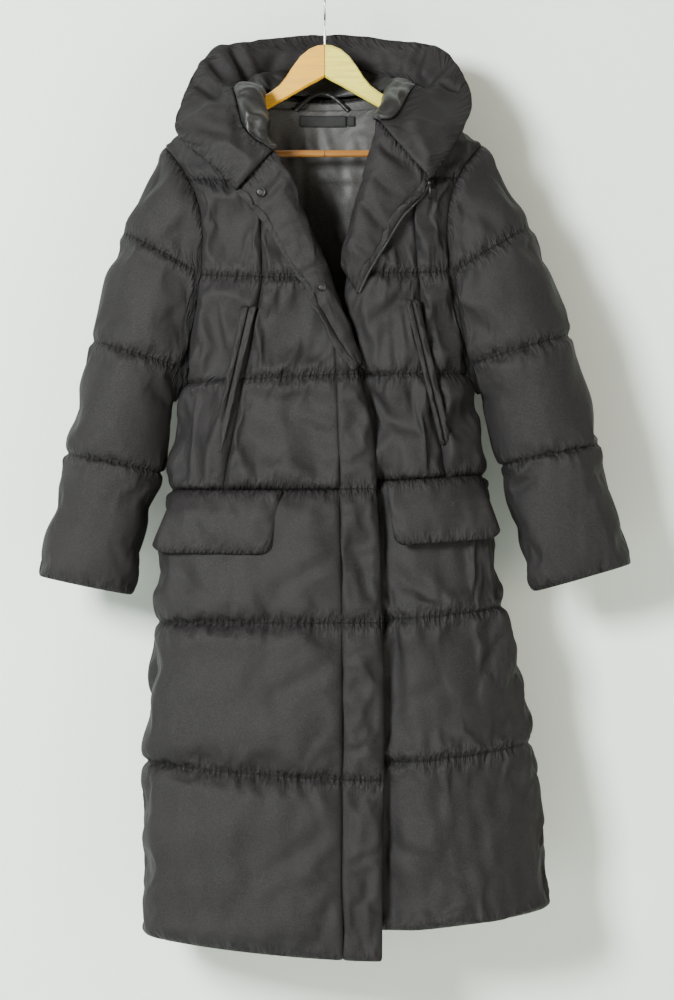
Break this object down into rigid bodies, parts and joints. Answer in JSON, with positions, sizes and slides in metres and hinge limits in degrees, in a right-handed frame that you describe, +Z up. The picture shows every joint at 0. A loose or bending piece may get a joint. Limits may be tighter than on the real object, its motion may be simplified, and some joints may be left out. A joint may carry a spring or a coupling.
{
  "type": "hooded quilted down coat on a wooden hanger",
  "caption": "Long hooded quilted coat hung open at the neck on a wooden hanger, its front overlapped and its sleeves hanging free.",
  "frame": {"origin": "inside the crown of the hanger's hook, where it rests on a rail or peg", "axes": "+Z up along the hanger's hook, the coat's front faces -Y, the wearer's right side is at -X"},
  "size_m": [0.8242, 0.2482, 1.347],
  "materials": {
    "shell_cloth": "matt charcoal-black downproof cloth",
    "lining_cloth": "smooth black lining with a soft shine",
    "black_tape": "matt black woven tape",
    "snap_metal": "dark burnished",
    "pale_wood": "satin varnish",
    "steel": "bright"
  },
  "bodies": {
    "root": {"back": "shell_cloth", "front_side_right": "shell_cloth", "front_centre_right": "shell_cloth", "front_skirt_right": "shell_cloth", "front_side_left": "shell_cloth", "front_centre_left": "shell_cloth", "front_skirt_left": "shell_cloth", "sleeve_right": "shell_cloth", "sleeve_left": "shell_cloth", "hood_shell": "shell_cloth", "hood_facing": "shell_cloth", "facing_right": "shell_cloth", "facing_left": "shell_cloth", "placket": "shell_cloth", "welt_outer_right": "shell_cloth", "welt_inner_right": "shell_cloth", "welt_inner_left": "shell_cloth", "welt_outer_left": "shell_cloth", "flap_right": "shell_cloth", "flap_left": "shell_cloth", "hood_lining": "lining_cloth", "back_lining": "lining_cloth", "zip_tape": "black_tape", "label": "black_tape", "hang_loop": "black_tape", "snap_upper": "snap_metal", "snap_lower": "snap_metal", "hanger_arms": "pale_wood", "hanger_bar": "pale_wood", "hanger_hook": "steel"}
  },
  "joints": []
}
